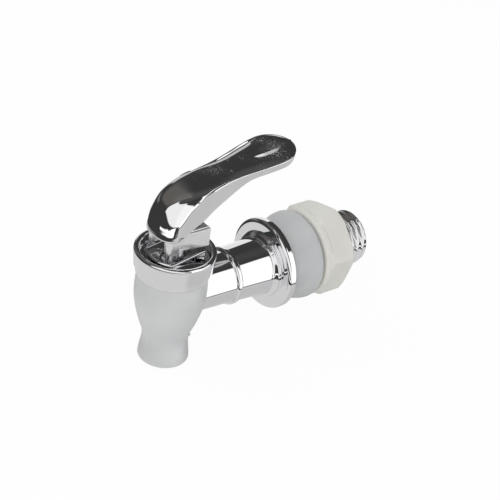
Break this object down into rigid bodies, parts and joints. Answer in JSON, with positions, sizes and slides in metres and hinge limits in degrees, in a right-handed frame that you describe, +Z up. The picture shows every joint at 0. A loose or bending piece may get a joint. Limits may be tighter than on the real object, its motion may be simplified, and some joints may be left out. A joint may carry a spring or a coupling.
{
  "type": "beverage dispenser spigot",
  "caption": "Lever spigot for a drinks dispenser: bell nozzle and cap with a lift lever, conical shank with flange, soft washer, hex nut and threaded tail.",
  "frame": {"origin": "centre of the shank's bore at the flange's rear face, where the flange meets the soft washer", "axes": "+Y along the shank into the dispenser, +Z up along the valve, nozzle and lever on the -Y side, +X to the right seen from the rear"},
  "size_m": [0.0268, 0.076, 0.0604],
  "materials": {
    "chrome": "mirror",
    "satin_silver": "satin",
    "silicone": "translucent satin",
    "ivory_plastic": "satin",
    "steel": "satin",
    "seal_rubber": "matte"
  },
  "bodies": {
    "valve": {"nozzle_body": "satin_silver", "bonnet_cap": "chrome", "bonnet_gasket": "seal_rubber", "stem_o_ring": "seal_rubber", "shank": "chrome", "shank_o_ring": "seal_rubber", "tank_washer": "silicone", "hex_nut": "ivory_plastic"},
    "swivel": {"thrust_washer": "steel", "return_spring": "steel"},
    "stem": {"stem": "steel", "seat_plug": "silicone", "pivot_pin": "steel"},
    "lever": {"lever": "chrome"}
  },
  "joints": [
    {"name": "lever_swivel", "type": "hinge", "parent": "valve", "child": "swivel", "pos_m": [0, -0.0337, 0.009], "axis": [0, 0, 1], "continuous": true},
    {"name": "stem_lift", "type": "slide", "parent": "swivel", "child": "stem", "axis": [0, 0, 1], "range_m": [0, 0.0017], "deforming": ["return_spring"]},
    {"name": "lever_press", "type": "hinge", "parent": "stem", "child": "lever", "pos_m": [0, -0.0337, 0.019], "axis": [-1, 0, 0], "range_deg": [0, 25], "stiffness_Nm_per_rad": 0.25, "springref_deg": -22.92}
  ],
  "couplings": [
    {"joint": "stem_lift", "follows": "lever_press", "m_per_rad": 0.003896}
  ]
}
